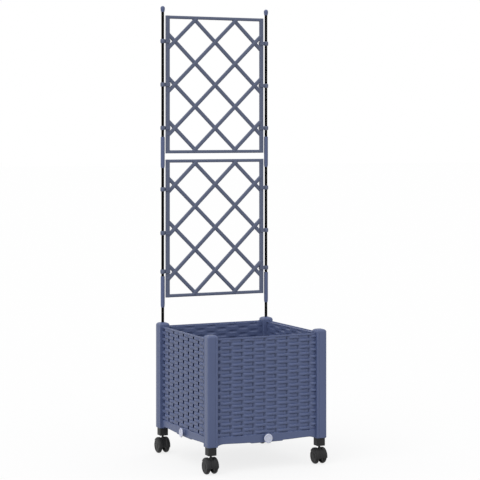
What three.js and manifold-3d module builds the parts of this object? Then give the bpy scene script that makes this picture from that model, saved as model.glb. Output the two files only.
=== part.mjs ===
// A square planter with a two-panel trellis, on four twin-wheel castors.
// Millimetres, +Z up. -Y is the front, and the trellis stands along the back edge.
import * as THREE from 'three';
import { mergeVertices } from 'three/addons/utils/BufferGeometryUtils.js';
import ManifoldModule from 'manifold-3d';

const wasm = await ManifoldModule();
wasm.setup();

// ---------------------------------------------------------------- driving sizes
const postSpacing = 368; // centre to centre of the corner posts
const clearance = 0.3; // between pieces that fit together

// Corner posts
const postWidth = 34;
const postOuterRadius = 3.5; // the corner that faces away from the planter
const postEdgeRadius = 2; // the other three corners
const postFootRadius = 2.5; // rounded edge of the foot
const postLineInset = 25; // outer corner to the decorative line in each outer face
const postLineDepth = 0.8;
const postHeight = 326; // foot to shoulder
const domeRise = 10; // shoulder to the top of the low dome
const domeFullness = 2.6; // 2 is an ellipse, and more is squarer
const spigotPocketDepth = 15; // square pocket in the foot

// Side panels
const panelSetback = 9; // panel face behind the posts' outer faces
const panelSkin = 2.5; // moulded wall
const panelBackStep = 1; // frame's back behind the weave's
const panelTopDrop = 2; // panel top below the posts' shoulders
const topRim = 5.6; // plain rim above the weave
const rimThickness = 3; // its lip, which stands on a shelf over the weave
const bottomBand = 27.5; // plain band below the weave, measured from the posts' feet
const sideMargin = 1.7; // plain margin beside the weave
const runRise = 6.5; // crown of the bottom edge above the feet
const runEndRise = 4; // bottom edge beside the central boss
const bossHalfWidth = 52.5; // lower part of the bottom edge, round the drain
const bossRise = 1.5;
const footFilletRun = 23; // where the bottom edge sweeps down to a foot
const topFlareRun = 12; // where the top edge sweeps up to a shoulder
const topFlareRise = 1.6;
const tongueThickness = 5; // side edge that slides into a post
const tongueReach = 5;
const tongueEndGap = 6; // tongue's upper end below the panel's top
const ledgeReach = 7; // inner shelf that carries the tray
const ledgeRise = 3.5; // its underside above the feet
const ledgeThickness = 2.5;

// Basket weave
const weaveColumnPitch = 38; // one bulge of a strand
const weaveStrandHeight = 10.38;
const weaveRelief = 8; // bulge above the valley floor
const weaveCrestDrop = 1.5; // bulges behind the frame's face
const weaveRidgeInset = 7; // from a bulge's end to its ridge

// Water tray and drain plugs
const trayWall = 2.2;
const trayHeight = 24;
const trayRibHeight = 3;
const trayRibSpacing = 60;
const drainRise = 14.5; // drain's axis above the feet
const drainBoreRadius = 5.4;
const drainBossRadius = 15; // solid part of the band round the bore
const spoutRadius = 9.5; // short spout that the plug closes
const spoutReach = 7.6; // in front of the panel's face
const plugRadius = 14;
const plugThickness = 3;
const plugStemLength = 24.9;
const plugSides = 16;

// Castors
const swivelGap = 6.1; // hood's top to the underside of the socket
const socketWidth = 27;
const socketHeight = 24;
const spigotWidth = 20; // square pocket that takes the socket's spigot
const wheelRadius = 24;
const wheelWidth = 12;
const wheelSpacing = 26; // centre plane to centre plane of a pair
const wheelShoulder = 5; // rounding of the tread towards the outer face
const wheelInnerShoulder = 3;
const wheelDish = 0.8; // sunk middle of the outer face
const axleSeat = 9; // axle's length inside a wheel
const treadSides = 20;
const castorTrail = 5.5; // axle behind the swivel axis
const axleRadius = 2.8;
const hoodGap = 1; // between tread and hood
const hoodThickness = 2.2;
const hoodFrontAngle = -8; // degrees above the horizontal, at the front
const hoodRearAngle = 148;
const saddleDrop = 2.7; // middle of the hood below the two fenders
const swivelConeRadius = 6;
const swivelConeDrop = 5.5; // cone's top below the socket
const stemRadius = 3.4;
const stemReach = 26; // into the socket

// Poles
const tubeRadius = 4.5;
const tubeWall = 0.8;
const lowerJointRise = 96.5; // post's dome to the joint in the lower sleeve
const poleSection = 444.5; // lower joint to upper joint
const poleOvershoot = 10.9; // upper trellis to the finial
const tubeGap = 0.6; // between the ends inside a sleeve
const sleeveLength = 99;
const sleeveWall = 1.8;
const sleeveTaper = 1.2;
const finialHeight = 19;
const finialWall = 2.4;
const finialSeat = 6; // how far a tube goes into its finial

// Trellis
const trellisInset = 10.6; // pole axis to trellis edge
const trellisHeight = 440.35;
const trellisDrop = 18.75; // its lower edge below the lower joint
const trellisGap = 19.65; // between the two trellis panels
const sideBarWidth = 13;
const endBarWidth = 10;
const frameThickness = 9;
const slatWidth = 10;
const slatThickness = 7;
const slatLap = 0.75; // rising slats in front of the middle, and falling ones behind it
const slatBevel = 2;
const nodeSideMargin = 31.4; // first crossing to the trellis edge
const nodeEndMargin = 11.675; // first row of crossings to the trellis end

// Clips that tie the trellis to the poles
const clipHeight = 13;
const clipWall = 3; // ring
const clipJawWall = 2;
const clipNeckWidth = 7;
const lowerClips = { aboveSleeve: 15, belowSleeve: 68, middleDrop: 8.25 };
const upperClips = { aboveSleeve: 28.5, belowFinial: 93 };

// ---------------------------------------------------------------- derived sizes
const axleHeight = wheelRadius * Math.cos(Math.PI / treadSides); // a flat of the tread is down
const hoodRadius = wheelRadius + hoodGap + hoodThickness;
const castorHeight = axleHeight + hoodRadius + swivelGap; // ground to the socket's underside
const postReach = postSpacing / 2; // post axis from the planter's centre
const postFace = postReach + postWidth / 2;
const postInner = postReach - postWidth / 2;
const postFoot = castorHeight + socketHeight;
const postShoulder = postFoot + postHeight;
const panelFace = postFace - panelSetback;
const weaveFloor = panelFace - weaveCrestDrop - weaveRelief;
const panelBack = weaveFloor - panelSkin - panelBackStep;
const panelHalf = postInner - clearance;
const panelTop = postShoulder - panelTopDrop;
const weaveTop = panelTop - topRim;
const weaveBottom = postFoot + bottomBand;
const tongueFace = (panelFace + panelBack + tongueThickness) / 2;
const drainHeight = postFoot + drainRise;
const trayBottom = postFoot + ledgeRise + ledgeThickness + clearance;
const plugStemRadius = drainBoreRadius - clearance - 0.1;
const lowerJointHeight = postShoulder + domeRise + lowerJointRise;
const upperJointHeight = lowerJointHeight + poleSection;
const sleeveRadius = tubeRadius + clearance + sleeveWall;
const finialRadius = tubeRadius + clearance + finialWall;
const trellisWidth = postSpacing - 2 * trellisInset;
const trellisBottom = lowerJointHeight - trellisDrop;
const upperTrellisBottom = trellisBottom + trellisHeight + trellisGap;
const finialBase = upperTrellisBottom + trellisHeight + poleOvershoot;
const totalHeight = finialBase + finialHeight; // ground to the tips, 1425
const poleTop = finialBase + finialSeat;
const poleBottom = postFoot + spigotPocketDepth + clearance;

// The bounding box's centre is the origin, and the castors trail to the rear.
const rearReach = postReach + castorTrail + axleHeight;
const hoodReach = Math.max(...hoodArc(hoodRadius).map(([y]) => -y));
const frontReach = Math.max(postFace, postReach + hoodReach);
const centreShift = (frontReach - rearReach) / 2;

// ---------------------------------------------------------------- materials
const blue = 0x5d6688;
const looks = {
  bluePlastic: { color: blue, roughness: 0.5, metalness: 0 },
  trellisPlastic: { color: 0x5c6482, roughness: 0.5, metalness: 0 },
  clearPlug: { color: 0xc9cce0, roughness: 0.35, metalness: 0 },
  blackPlastic: { color: 0x2c2c2d, roughness: 0.5, metalness: 0 },
  blackTube: { color: 0x060606, roughness: 0.35, metalness: 0 },
  steel: { color: 0x8f9194, roughness: 0.3, metalness: 1 },
  innerTray: { color: 0x4b5472, roughness: 0.6, metalness: 0 },
};

// ---------------------------------------------------------------- solids
function solid(geometry) {
  const bare = geometry.index ? geometry.toNonIndexed() : geometry.clone();
  bare.deleteAttribute('normal');
  bare.deleteAttribute('uv');
  const merged = mergeVertices(bare, 1e-4);
  return new wasm.Manifold(new wasm.Mesh({
    numProp: 3,
    vertProperties: new Float32Array(merged.attributes.position.array),
    triVerts: new Uint32Array(merged.index.array),
  }));
}

function surface(manifold) {
  const mesh = manifold.getMesh();
  const geometry = new THREE.BufferGeometry();
  geometry.setAttribute('position', new THREE.BufferAttribute(mesh.vertProperties, 3));
  geometry.setIndex(new THREE.BufferAttribute(mesh.triVerts, 1));
  const flat = geometry.toNonIndexed();
  flat.computeVertexNormals();
  return flat;
}

const join = (...parts) => parts.reduce((a, b) => a.add(b));
const cut = (body, ...tools) => tools.reduce((a, b) => a.subtract(b), body);

// A box given by its lowest and highest corners.
function block(low, high) {
  const size = high.map((value, i) => value - low[i]);
  const centre = high.map((value, i) => (value + low[i]) / 2);
  return solid(new THREE.BoxGeometry(...size).translate(...centre));
}

// An outline in X and Y, raised from z = bottom to z = top.
function upright(shape, bottom, top, curveSegments = 4) {
  const options = { depth: top - bottom, bevelEnabled: false, curveSegments };
  return solid(new THREE.ExtrudeGeometry(shape, options).translate(0, 0, bottom));
}

// An outline in X and Z, running from y = front to y = back.
function facing(shape, front, back, curveSegments = 4) {
  const options = { depth: back - front, bevelEnabled: false, curveSegments };
  const geometry = new THREE.ExtrudeGeometry(shape, options);
  return solid(geometry.rotateX(Math.PI / 2).translate(0, back, 0));
}

// An outline in Y and Z, running from x = left to x = right.
function sideways(shape, left, right, curveSegments = 4) {
  const options = { depth: right - left, bevelEnabled: false, curveSegments };
  const geometry = new THREE.ExtrudeGeometry(shape, options);
  return solid(geometry.rotateX(Math.PI / 2).rotateZ(Math.PI / 2).translate(left, 0, 0));
}

// A profile of [radius, height] points turned about Z.
function turned(profile, segments) {
  const points = profile.map(([radius, height]) => new THREE.Vector2(radius, height));
  return solid(new THREE.LatheGeometry(points, segments).rotateX(Math.PI / 2));
}

// A round bar along Z.
function rod(radius, bottom, top, segments = 12) {
  return turned([[0, bottom], [radius, bottom], [radius, top], [0, top]], segments);
}

function polygon(points) {
  return new THREE.Shape(points.map(([x, y]) => new THREE.Vector2(x, y)));
}

function rectangle(halfX, halfY) {
  return polygon([[-halfX, -halfY], [halfX, -halfY], [halfX, halfY], [-halfX, halfY]]);
}

function arcPoints(x, y, radius, fromDegrees, toDegrees, steps) {
  return Array.from({ length: steps + 1 }, (_, i) => {
    const angle = THREE.MathUtils.degToRad(fromDegrees + ((toDegrees - fromDegrees) * i) / steps);
    return [x + radius * Math.cos(angle), y + radius * Math.sin(angle)];
  });
}

// A skin over rings of points, closed at both ends by flat fans.
function loft(rings) {
  const count = rings[0].length;
  const positions = rings.flat(2);
  const index = [];
  for (let r = 0; r + 1 < rings.length; r += 1) {
    for (let i = 0; i < count; i += 1) {
      const a = r * count + i;
      const b = r * count + ((i + 1) % count);
      index.push(a, b, b + count, a, b + count, a + count);
    }
  }
  const last = (rings.length - 1) * count;
  for (let i = 1; i + 1 < count; i += 1) {
    index.push(0, i + 1, i, last, last + i, last + i + 1);
  }
  const geometry = new THREE.BufferGeometry();
  geometry.setAttribute('position', new THREE.Float32BufferAttribute(positions, 3));
  geometry.setIndex(index);
  return solid(geometry);
}

// ---------------------------------------------------------------- corner post
// Drawn for the front left corner, about its own axis: its outer corner is at -X -Y.
function postOutline() {
  const half = postWidth / 2;
  const corner = (signX, signY, radius, start, steps) => arcPoints(
    signX * (half - radius), signY * (half - radius), radius, start, start + 90, steps);
  const line = postLineInset - half;
  const depth = half - postLineDepth;
  return [
    ...corner(-1, -1, postOuterRadius, 180, 3),
    [line - postLineDepth, -half], [line, -depth], [line + postLineDepth, -half],
    ...corner(1, -1, postEdgeRadius, 270, 1),
    ...corner(1, 1, postEdgeRadius, 0, 1),
    ...corner(-1, 1, postEdgeRadius, 90, 1),
    [-half, line + postLineDepth], [-depth, line], [-half, line - postLineDepth],
  ];
}

function postBody() {
  const outline = postOutline();
  const ring = (scale, z) => outline.map(([x, y]) => [x * scale, y * scale, z]);
  const footScale = (inset) => 1 - (2 * inset) / postWidth;
  const foot = [
    ring(footScale(postFootRadius), postFoot),
    ring(footScale(postFootRadius * 0.3), postFoot + postFootRadius * 0.3),
    ring(1, postFoot + postFootRadius),
  ];
  const domeScale = (t) => (1 - t ** domeFullness) ** (1 / domeFullness);
  const dome = [0.35, 0.62, 0.82, 0.94, 1].map((t) => (
    ring(t < 1 ? domeScale(t) : domeScale(0.97) / 2, postShoulder + domeRise * t)));
  return loft([...foot, ring(1, postShoulder), ...dome]);
}

function postGrooves() {
  const half = postWidth / 2;
  const near = postReach - tongueFace - clearance;
  const far = near + tongueThickness + 2 * clearance;
  const depth = half - tongueReach - clearance;
  const top = panelTop - tongueEndGap + clearance;
  const bottom = postFoot - 1;
  return [
    block([depth, near, bottom], [half + 1, far, top]),
    block([near, depth, bottom], [far, half + 1, top]),
  ];
}

function cornerPost(holdsPole, turn = 0) {
  const pocket = spigotWidth / 2;
  const pocketTop = postFoot + spigotPocketDepth;
  const spigotPocket = block([-pocket, -pocket, postFoot - 1], [pocket, pocket, pocketTop]);
  const post = cut(postBody(), ...postGrooves(), spigotPocket);
  if (!holdsPole) return post;
  const bore = rod(tubeRadius + clearance, pocketTop - 1, postShoulder + domeRise + 1, 10);
  return cut(post, bore.rotate([0, 0, -turn])); // its flats lie along the tube's
}

// ---------------------------------------------------------------- side panel
// Drawn for the front: its face looks along -Y.
function panelOutline() {
  const flareX = panelHalf - topFlareRun;
  const filletX = panelHalf - footFilletRun;
  const crown = postFoot + runRise;
  const shape = new THREE.Shape();
  shape.moveTo(-panelHalf, postFoot + clearance);
  shape.quadraticCurveTo(-filletX - 6, crown, -filletX, crown);
  shape.lineTo(-bossHalfWidth - 4, postFoot + runEndRise);
  shape.lineTo(-bossHalfWidth, postFoot + bossRise);
  shape.lineTo(bossHalfWidth, postFoot + bossRise);
  shape.lineTo(bossHalfWidth + 4, postFoot + runEndRise);
  shape.lineTo(filletX, crown);
  shape.quadraticCurveTo(filletX + 6, crown, panelHalf, postFoot + clearance);
  shape.lineTo(panelHalf, panelTop + topFlareRise);
  shape.quadraticCurveTo(flareX + 4, panelTop, flareX, panelTop);
  shape.lineTo(-flareX, panelTop);
  shape.quadraticCurveTo(-flareX - 4, panelTop, -panelHalf, panelTop + topFlareRise);
  return shape;
}

// Column boundaries of the weave: whole columns about the middle, a part one at each end.
function weaveColumns() {
  const half = panelHalf - sideMargin;
  const wholeEachSide = Math.floor(half / weaveColumnPitch);
  const bounds = [-half];
  for (let k = -wholeEachSide; k <= wholeEachSide; k += 1) bounds.push(k * weaveColumnPitch);
  bounds.push(half);
  return { bounds, firstIsPartOf: wholeEachSide };
}

// A strand bulges in every other cell of its row, and neighbouring rows alternate.
function weaveSlab() {
  const { bounds, firstIsPartOf } = weaveColumns();
  const rows = Math.round((weaveTop - weaveBottom) / weaveStrandHeight);
  const rowHeight = (weaveTop - weaveBottom) / rows;
  const positions = [];
  const index = [];
  const point = (x, depth, z) => positions.push(x, -depth, z) / 3 - 1;
  const quad = (a, b, c, d) => index.push(a, b, c, a, c, d);
  const level = (row) => weaveTop - row * rowHeight;
  const grid = Array.from({ length: rows + 1 }, (_, row) => (
    bounds.map((x) => point(x, weaveFloor, level(row)))));
  for (let row = 0; row < rows; row += 1) {
    for (let column = 0; column + 1 < bounds.length; column += 1) {
      const [topLeft, topRight] = [grid[row][column], grid[row][column + 1]];
      const [lowLeft, lowRight] = [grid[row + 1][column], grid[row + 1][column + 1]];
      const bulges = (row + column + firstIsPartOf) % 2 === 1;
      if (bulges) {
        const width = bounds[column + 1] - bounds[column];
        const inset = Math.min(weaveRidgeInset, width / 3);
        const middle = (level(row) + level(row + 1)) / 2;
        const crest = weaveFloor + weaveRelief;
        const left = point(bounds[column] + inset, crest, middle);
        const right = point(bounds[column + 1] - inset, crest, middle);
        quad(lowLeft, lowRight, right, left);
        quad(topRight, topLeft, left, right);
        index.push(topLeft, lowLeft, left, lowRight, topRight, right);
      } else {
        quad(lowLeft, lowRight, topRight, topLeft);
      }
    }
  }
  return solid(closeBehind(positions, index, grid));
}

// Closes the weave's face with a flat back and four thin edges.
function closeBehind(positions, index, grid) {
  const rim = [
    ...grid.map((row) => row[0]),
    ...grid.at(-1).slice(1),
    ...grid.slice(0, -1).reverse().map((row) => row.at(-1)),
    ...grid[0].slice(1, -1).reverse(),
  ];
  const back = weaveFloor - panelSkin;
  const copies = rim.map((i) => (
    positions.push(positions[3 * i], -back, positions[3 * i + 2]) / 3 - 1));
  const centre = positions.push(0, -back, (weaveTop + weaveBottom) / 2) / 3 - 1;
  rim.forEach((a, i) => {
    const next = (i + 1) % rim.length;
    index.push(a, copies[i], copies[next], a, copies[next], rim[next]);
    index.push(copies[i], centre, copies[next]);
  });
  const geometry = new THREE.BufferGeometry();
  geometry.setAttribute('position', new THREE.Float32BufferAttribute(positions, 3));
  geometry.setIndex(index);
  return geometry;
}

function sidePanel() {
  const weaveHalf = panelHalf - sideMargin;
  const overlap = 0.5; // how far the weave is let into its frame
  const window = block(
    [-weaveHalf + overlap, -panelFace - 1, weaveBottom + overlap],
    [weaveHalf - overlap, -panelBack + 1, weaveTop - overlap]);
  const frame = cut(facing(panelOutline(), -panelFace, -panelBack, 3), window);
  const tongueTop = panelTop - tongueEndGap;
  const tongueBottom = postFoot + runEndRise;
  const tongue = (side) => block(
    [side < 0 ? -panelHalf - tongueReach : panelHalf - 1, -tongueFace, tongueBottom],
    [side < 0 ? -panelHalf + 1 : panelHalf + tongueReach, tongueThickness - tongueFace, tongueTop]);
  const ledgeBottom = postFoot + ledgeRise;
  const ledgeHalf = panelHalf - footFilletRun;
  const ledge = block(
    [-ledgeHalf, -panelBack - 1, ledgeBottom],
    [ledgeHalf, -panelBack + ledgeReach, ledgeBottom + ledgeThickness]);
  const spout = outward(rod(
    spoutRadius, panelFace - 2, panelFace + spoutReach, plugSides));
  const drain = outward(rod(
    drainBoreRadius, panelBack - 1, panelFace + spoutReach + 1, plugSides));
  const body = join(frame, weaveSlab(), tongue(-1), tongue(1), ledge, spout);
  return cut(body, ...framePockets(), drain);
}

// Turns a rod about Z into one about the drain's axis.
function outward(body) {
  return body.rotate([90, 0, 0]).translate([0, 0, drainHeight]);
}

// The frame is moulded hollow, open to the inside of the planter, and its rim is a thin lip.
function framePockets() {
  const front = -panelFace + panelSkin;
  const back = -panelBack + 1;
  const half = panelHalf - panelSkin;
  const bandBottom = postFoot + runRise + panelSkin;
  const bandTop = weaveBottom - panelSkin;
  return [
    block(
      [-panelHalf - 1, -panelFace + rimThickness, weaveTop + panelSkin],
      [panelHalf + 1, back, panelTop + topFlareRise + 1]),
    block([-half, front, bandBottom], [-drainBossRadius, back, bandTop]),
    block([drainBossRadius, front, bandBottom], [half, back, bandTop]),
  ];
}

// ---------------------------------------------------------------- tray and plugs
function trayOutline(inset) {
  const edge = panelBack - clearance - inset;
  const notch = postInner - clearance - inset;
  const quarter = [[notch, edge], [-notch, edge], [-notch, notch]];
  return polygon([0, 1, 2, 3].flatMap((turn) => quarter.map(([x, y]) => {
    const point = new THREE.Vector2(x, y).rotateAround(new THREE.Vector2(), turn * Math.PI / 2);
    return [point.x, point.y];
  })));
}

function waterTray() {
  const floor = trayBottom + trayWall;
  const pan = cut(
    upright(trayOutline(0), trayBottom, trayBottom + trayHeight),
    upright(trayOutline(trayWall), floor, trayBottom + trayHeight + 1));
  const reach = postInner - 10;
  const half = trayWall / 2;
  const ribs = [-2, -1, 1, 2].map((k) => block(
    [k * trayRibSpacing - half, -reach, floor - 1],
    [k * trayRibSpacing + half, reach, floor + trayRibHeight]));
  const outlet = (turn) => outward(rod(
    drainBoreRadius + 0.1, panelBack - 10, panelBack + 1, plugSides)).rotate([0, 0, turn * 90]);
  return cut(join(pan, ...ribs), ...[0, 1, 2, 3].map(outlet));
}

// A round cap with a stem, drawn along +Z: the cap's seat is at z = 0, the stem goes down.
function drainPlug() {
  const edge = 1;
  return turned([
    [0, -plugStemLength], [plugStemRadius - 1, -plugStemLength],
    [plugStemRadius, 1 - plugStemLength], [plugStemRadius, 0], [plugRadius, 0],
    [plugRadius, plugThickness - edge], [plugRadius - edge, plugThickness],
    [0, plugThickness],
  ], plugSides);
}

// ---------------------------------------------------------------- castors
// Drawn about the swivel axis, with the ground at z = 0.
function castorSocket() {
  const half = socketWidth / 2;
  const chamfer = 2;
  const outline = polygon([
    [-half + chamfer, -half], [half - chamfer, -half], [half, -half + chamfer],
    [half, half - chamfer], [half - chamfer, half], [-half + chamfer, half],
    [-half, half - chamfer], [-half, -half + chamfer],
  ]);
  const spigot = spigotWidth / 2 - clearance;
  const spigotTop = postFoot + spigotPocketDepth - clearance;
  const body = join(
    upright(outline, castorHeight, postFoot - clearance),
    block([-spigot, -spigot, postFoot - 1], [spigot, spigot, spigotTop]));
  const boreTop = castorHeight + stemReach + clearance;
  return cut(body, rod(stemRadius + 0.5, castorHeight - 1, boreTop, 10));
}

function hoodArc(radius) {
  return arcPoints(castorTrail, axleHeight, radius, 180 - hoodFrontAngle, 180 - hoodRearAngle, 9);
}

function hoodSector(innerRadius, outerRadius) {
  return polygon([...hoodArc(innerRadius), ...hoodArc(outerRadius).reverse()]);
}

function castorHood() {
  const webHalf = (wheelSpacing - wheelWidth) / 2 - clearance;
  const width = (wheelSpacing + wheelWidth) / 2;
  const hubRadius = axleRadius + 4;
  const saddleRadius = hoodRadius - saddleDrop;
  const wall = 1; // between the saddle and a fender
  const onAxle = (body) => body.rotate([0, 90, 0]).translate([0, castorTrail, axleHeight]);
  const web = sideways(hoodSector(hubRadius - 1, saddleRadius), -webHalf, webHalf);
  const fenders = [[-width, wall - webHalf], [webHalf - wall, width]].map((span) => (
    sideways(hoodSector(wheelRadius + hoodGap, hoodRadius), ...span)));
  const walls = [[-webHalf, wall - webHalf], [webHalf - wall, webHalf]].map((span) => (
    sideways(hoodSector(saddleRadius - 1, hoodRadius), ...span)));
  const hub = onAxle(rod(hubRadius, -webHalf, webHalf, 10));
  const coneTop = castorHeight - swivelConeDrop;
  const cone = turned([
    [0, coneTop - 11], [swivelConeRadius, coneTop - 11], [swivelConeRadius, coneTop - 3],
    [stemRadius + 0.6, coneTop], [0, coneTop],
  ], 12);
  const stem = rod(stemRadius, coneTop - 1, castorHeight + stemReach, 10);
  const axleBore = onAxle(rod(axleRadius + clearance, -webHalf - 1, webHalf + 1, 8));
  return cut(join(web, ...fenders, ...walls, hub, cone, stem), axleBore);
}

function castorAxle() {
  const half = (wheelSpacing - wheelWidth) / 2 + axleSeat;
  return rod(axleRadius, -half, half, 8).rotate([0, 90, 0]);
}

// Drawn about its axle, which lies along X: the outer face looks along +X and is closed.
function castorWheel() {
  const half = wheelWidth / 2;
  const bore = axleRadius + clearance + 0.25;
  const boreEnd = axleSeat + clearance - half;
  const faceRadius = wheelRadius - wheelShoulder;
  return turned([
    [0, boreEnd], [bore, boreEnd], [bore, -half], [wheelRadius - wheelInnerShoulder, -half],
    [wheelRadius, wheelInnerShoulder - half], [wheelRadius, half - wheelShoulder],
    [wheelRadius - wheelShoulder * 0.3, half - wheelShoulder * 0.3], [faceRadius, half],
    [faceRadius - 2, half], [faceRadius - 3, half - wheelDish], [0, half - wheelDish],
  ], treadSides).rotate([0, 0, 180 / treadSides]).rotate([0, 90, 0]);
}

// ---------------------------------------------------------------- poles
function poleTube(bottom, top) {
  const inner = tubeRadius - tubeWall;
  return turned([[inner, bottom], [tubeRadius, bottom], [tubeRadius, top], [inner, top],
    [inner, bottom]], 10);
}

function poleSleeve(centre) {
  const half = sleeveLength / 2;
  const bore = tubeRadius + clearance;
  return turned([
    [bore, centre - half], [sleeveRadius - sleeveTaper, centre - half],
    [sleeveRadius, centre - half + 6], [sleeveRadius, centre + half],
    [bore, centre + half], [bore, centre - half],
  ], 10);
}

// An acorn, bored from below for the tube.
function finial() {
  const base = finialBase;
  const ball = totalHeight - finialRadius;
  const bore = tubeRadius + clearance;
  const body = turned([
    [0, base], [finialRadius - 1.6, base], [finialRadius - 0.9, base + 4],
    [finialRadius, ball - 3], [finialRadius, ball],
    [finialRadius * 0.86, ball + finialRadius * 0.5],
    [finialRadius * 0.5, ball + finialRadius * 0.86], [0, totalHeight],
  ], 10);
  return cut(body, rod(bore, base - 1, poleTop + clearance, 10));
}

// ---------------------------------------------------------------- trellis
// Drawn about its own centre, its face looking along -Y.
function latticeSlat(direction, offset) {
  const pitchX = (trellisWidth - 2 * nodeSideMargin) / 4;
  const pitchZ = (trellisHeight - 2 * nodeEndMargin) / 6;
  const slope = pitchZ / pitchX;
  const middle = offset * 2 * pitchZ;
  const halfX = trellisWidth / 2 - sideBarWidth / 2;
  const halfZ = trellisHeight / 2 - endBarWidth / 2;
  const low = Math.max(-halfX, (-halfZ - middle) / slope);
  const high = Math.min(halfX, (halfZ - middle) / slope);
  const length = (high - low) * Math.hypot(1, slope);
  const [w, t] = [slatWidth / 2, slatThickness / 2];
  const section = polygon([
    [t, -w + slatBevel], [t, w - slatBevel], [t - 1, w], [1 - t, w],
    [-t, w - slatBevel], [-t, slatBevel - w], [1 - t, -w], [t - 1, -w],
  ]);
  const bar = sideways(section, -length / 2, length / 2);
  const angle = THREE.MathUtils.radToDeg(Math.atan(slope)) * direction;
  const centreX = (low + high) / 2;
  return bar.rotate([0, -angle, 0])
    .translate([centreX * direction, -slatLap * direction, middle + slope * centreX]);
}

function trellisPanel() {
  const [w, h] = [trellisWidth / 2, trellisHeight / 2];
  const outline = rectangle(w, h);
  outline.holes.push(rectangle(w - sideBarWidth, h - endBarWidth));
  const frame = facing(outline, -frameThickness / 2, frameThickness / 2);
  const slats = [-2, -1, 0, 1, 2].flatMap((k) => [latticeSlat(1, k), latticeSlat(-1, k)]);
  return join(frame, ...slats);
}

// ---------------------------------------------------------------- clips
function lowerClipHeights() {
  const low = lowerJointHeight + sleeveLength / 2 + lowerClips.aboveSleeve;
  const high = upperJointHeight - sleeveLength / 2 - lowerClips.belowSleeve;
  return [low, (low + high) / 2 - lowerClips.middleDrop, high];
}

function upperClipHeights() {
  const low = upperJointHeight + sleeveLength / 2 + upperClips.aboveSleeve;
  const high = finialBase - upperClips.belowFinial;
  return [low, (low + high) / 2, high];
}

// A ring round the pole and an open jaw round the side bar. Drawn for the left pole.
function trellisClip() {
  const ringInner = tubeRadius + clearance;
  const ringOuter = ringInner + clipWall;
  const barStart = trellisInset - clearance;
  const barEnd = trellisInset + sideBarWidth + clearance;
  const barHalf = frameThickness / 2 + clearance;
  const jawHalf = barHalf + clipJawWall;
  const jawStart = barStart - clipJawWall;
  const half = clipHeight / 2;
  const plan = polygon([
    [jawStart, -jawHalf], [barEnd, -jawHalf], [barEnd, -barHalf], [barStart, -barHalf],
    [barStart, barHalf], [barEnd, barHalf], [barEnd, jawHalf], [jawStart, jawHalf],
  ]);
  const neck = block(
    [ringInner, -clipNeckWidth / 2, 1 - half], [barStart, clipNeckWidth / 2, half - 1]);
  const body = join(upright(plan, 1 - half, half - 1), neck, rod(ringOuter, -half, half, 10));
  return cut(body, rod(ringInner, -half - 1, half + 1, 10));
}

// ---------------------------------------------------------------- assembly
const planter = new THREE.Group();
planter.position.y = centreShift;

function addPiece(name, manifold, look, place = {}) {
  const mesh = new THREE.Mesh(surface(manifold), new THREE.MeshStandardMaterial(looks[look]));
  mesh.name = name;
  mesh.position.set(...(place.at ?? [0, 0, 0]));
  mesh.rotation.z = THREE.MathUtils.degToRad(place.turn ?? 0);
  planter.add(mesh);
  return mesh;
}

const corners = [
  { name: 'front_left', x: -1, y: -1, turn: 0 },
  { name: 'front_right', x: 1, y: -1, turn: 90 },
  { name: 'back_right', x: 1, y: 1, turn: 180 },
  { name: 'back_left', x: -1, y: 1, turn: 270 },
];
const sides = [
  { name: 'front', turn: 0 },
  { name: 'right', turn: 90 },
  { name: 'back', turn: 180 },
  { name: 'left', turn: 270 },
];

function addPlanterBox() {
  const panel = sidePanel();
  const plug = drainPlug().rotate([90, 0, 0]);
  for (const { name, turn } of sides) {
    const away = new THREE.Vector3(0, -1, 0)
      .applyAxisAngle(new THREE.Vector3(0, 0, 1), THREE.MathUtils.degToRad(turn));
    const seat = away.multiplyScalar(panelFace + spoutReach + clearance);
    addPiece(`panel_${name}`, panel, 'bluePlastic', { turn });
    addPiece(`drain_plug_${name}`, plug, 'clearPlug', {
      turn, at: [seat.x, seat.y, drainHeight] });
  }
  for (const { name, x, y, turn } of corners) {
    addPiece(`post_${name}`, cornerPost(y > 0, turn), 'bluePlastic', {
      turn, at: [x * postReach, y * postReach, 0] });
  }
  addPiece('water_tray', waterTray(), 'innerTray');
}

function addCastors() {
  const [socket, hood, axle, wheel] = [
    castorSocket(), castorHood(), castorAxle(), castorWheel()];
  for (const { name, x, y } of corners) {
    const [cx, cy] = [x * postReach, y * postReach];
    const axleY = cy + castorTrail;
    addPiece(`castor_socket_${name}`, socket, 'blackPlastic', { at: [cx, cy, 0] });
    addPiece(`castor_hood_${name}`, hood, 'blackPlastic', { at: [cx, cy, 0] });
    addPiece(`castor_axle_${name}`, axle, 'steel', { at: [cx, axleY, axleHeight] });
    const reach = wheelSpacing / 2;
    addPiece(`wheel_${name}_left`, wheel, 'blackPlastic', {
      turn: 180, at: [cx - reach, axleY, axleHeight] });
    addPiece(`wheel_${name}_right`, wheel, 'blackPlastic', {
      at: [cx + reach, axleY, axleHeight] });
  }
}

function addPoles() {
  const tubes = {
    lower: poleTube(poleBottom, lowerJointHeight - tubeGap / 2),
    middle: poleTube(lowerJointHeight + tubeGap / 2, upperJointHeight - tubeGap / 2),
    upper: poleTube(upperJointHeight + tubeGap / 2, poleTop),
  };
  const [lowerSleeve, upperSleeve] = [lowerJointHeight, upperJointHeight].map(poleSleeve);
  const tip = finial();
  for (const [side, x] of [['left', -1], ['right', 1]]) {
    const at = [x * postReach, postReach, 0];
    for (const [level, tube] of Object.entries(tubes)) {
      addPiece(`pole_${level}_${side}`, tube, 'blackTube', { at });
    }
    addPiece(`sleeve_lower_${side}`, lowerSleeve, 'bluePlastic', { at });
    addPiece(`sleeve_upper_${side}`, upperSleeve, 'bluePlastic', { at });
    addPiece(`finial_${side}`, tip, 'bluePlastic', { at });
  }
}

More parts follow.
